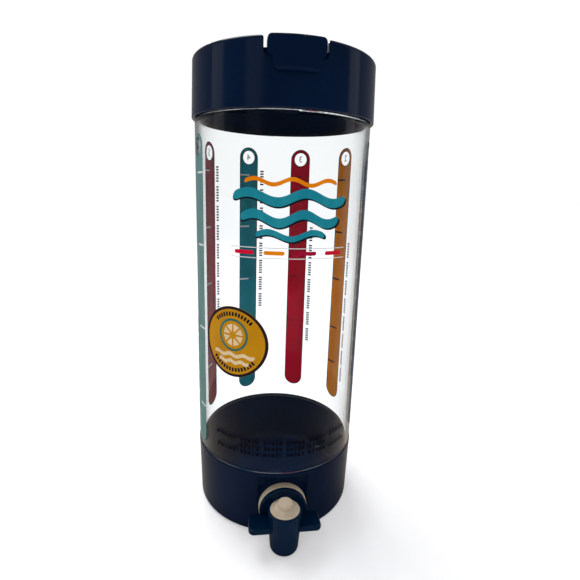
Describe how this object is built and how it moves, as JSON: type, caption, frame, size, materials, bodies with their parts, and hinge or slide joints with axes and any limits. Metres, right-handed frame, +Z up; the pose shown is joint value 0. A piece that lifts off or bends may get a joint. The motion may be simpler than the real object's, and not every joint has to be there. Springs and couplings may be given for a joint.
{
  "type": "drink dispenser",
  "caption": "Tall clear cylindrical drink dispenser with a tapered base, a press tap with finger wings, and a deep lift-off lid with a flip-up filling cover.",
  "frame": {"origin": "centre of the face that the base stands on", "axes": "+Z up along the vessel's axis, -Y towards the tap"},
  "size_m": [0.1116, 0.1316, 0.2867],
  "materials": {
    "navy_plastic": "moulded, glossy",
    "clear_plastic": "clear, polished",
    "tap_plastic": "moulded, satin gloss",
    "cream_rubber": "smooth, matt",
    "grey_rubber": "smooth, matt",
    "white_plastic": "moulded",
    "pin_steel": "drawn wire",
    "sticker_vinyl": "printed vinyl"
  },
  "bodies": {
    "vessel": {"base_cup": "navy_plastic", "vessel_tube": "clear_plastic", "tube_seal": "grey_rubber", "round_sticker": "sticker_vinyl", "tap_body": "tap_plastic", "outer_washer": "cream_rubber", "inner_washer": "cream_rubber", "tap_nut": "tap_plastic", "button_diaphragm": "cream_rubber"},
    "plunger": {"press_button": "cream_rubber", "valve_stem": "white_plastic", "valve_plug": "cream_rubber"},
    "lid": {"lid_body": "navy_plastic", "lid_gasket": "grey_rubber", "cover_hinge_pin": "pin_steel"},
    "cover": {"flip_cover": "navy_plastic", "cover_seal": "grey_rubber"}
  },
  "joints": [
    {"name": "lift_off", "type": "slide", "parent": "vessel", "child": "lid", "axis": [0, 0, 1], "range_m": [0, 0.05]},
    {"name": "cover_hinge", "type": "hinge", "parent": "lid", "child": "cover", "pos_m": [0, 0.002, 0.2834], "axis": [-1, 0, 0], "range_deg": [0, 105]},
    {"name": "button_press", "type": "slide", "parent": "vessel", "child": "plunger", "axis": [0, 0, -1], "range_m": [0, 0.0026], "stiffness_N_per_m": 1500, "springref_m": -0.001, "deforming": ["button_diaphragm"]}
  ]
}
